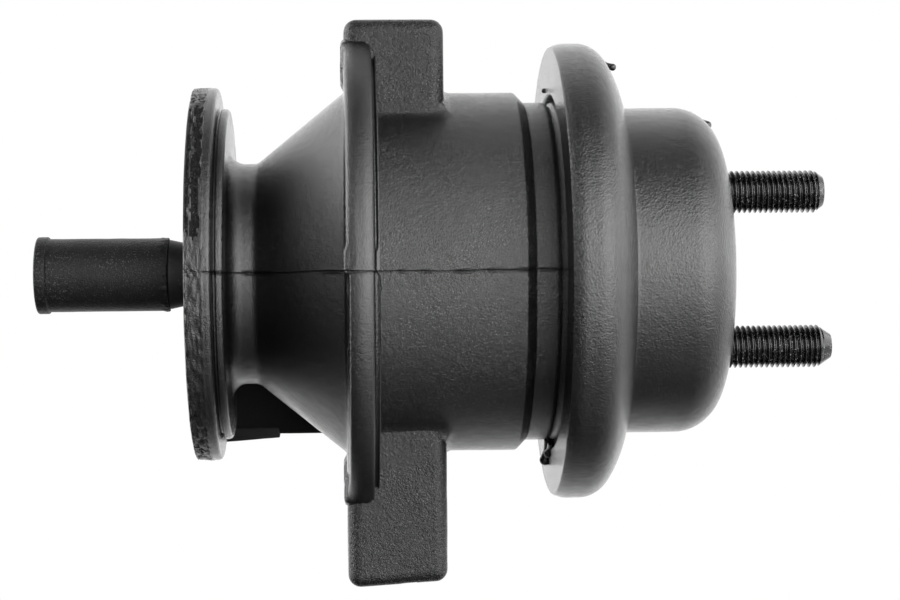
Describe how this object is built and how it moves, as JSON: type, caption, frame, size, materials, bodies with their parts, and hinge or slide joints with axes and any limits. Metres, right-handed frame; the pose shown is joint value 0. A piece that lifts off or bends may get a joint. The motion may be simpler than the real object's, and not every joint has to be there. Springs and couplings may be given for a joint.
{
  "type": "engine mount",
  "caption": "Fluid-filled engine mount: cast bracket with side ears and a rear leg, bonded rubber cone with stopper disc, sleeved pin, and a crimped cover with threaded studs.",
  "frame": {"origin": "centre of the cup's flat end face, halfway between the studs that leave it", "axes": "+Z along the mount's axis from the studs to the pin, +X towards the short ear, +Y towards the rear leg"},
  "size_m": [0.127, 0.1122, 0.1848],
  "materials": {
    "bracket_paint": "semi-gloss black coating over a cast surface",
    "spring_rubber": "black moulded rubber, part satin, part matt",
    "cover_paint": "semi-gloss black coating over pressed steel",
    "stud_steel": "black coated steel",
    "pin_steel": "matt black coated steel",
    "sleeve_moulding": "fine-grained matt black",
    "core_metal": "as cast",
    "plate_steel": "plain steel",
    "track_casting": "die-cast",
    "track_sheet": "stamped sheet",
    "inner_rubber": "smooth black rubber"
  },
  "bodies": {
    "root": {"housing": "bracket_paint", "main_rubber": "spring_rubber", "inner_core": "core_metal", "stopper_plate": "plate_steel", "pin": "pin_steel", "pin_sleeve": "sleeve_moulding", "bottom_cover": "cover_paint", "stud_plate": "plate_steel", "stud_upper": "stud_steel", "stud_lower": "stud_steel", "track_top_plate": "track_sheet", "track_body": "track_casting", "track_bottom_plate": "track_sheet", "membrane": "inner_rubber", "seal_ring": "inner_rubber", "diaphragm": "inner_rubber", "diaphragm_ring": "plate_steel", "track_rivet_1": "plate_steel", "track_rivet_2": "plate_steel", "track_rivet_3": "plate_steel"}
  },
  "joints": []
}
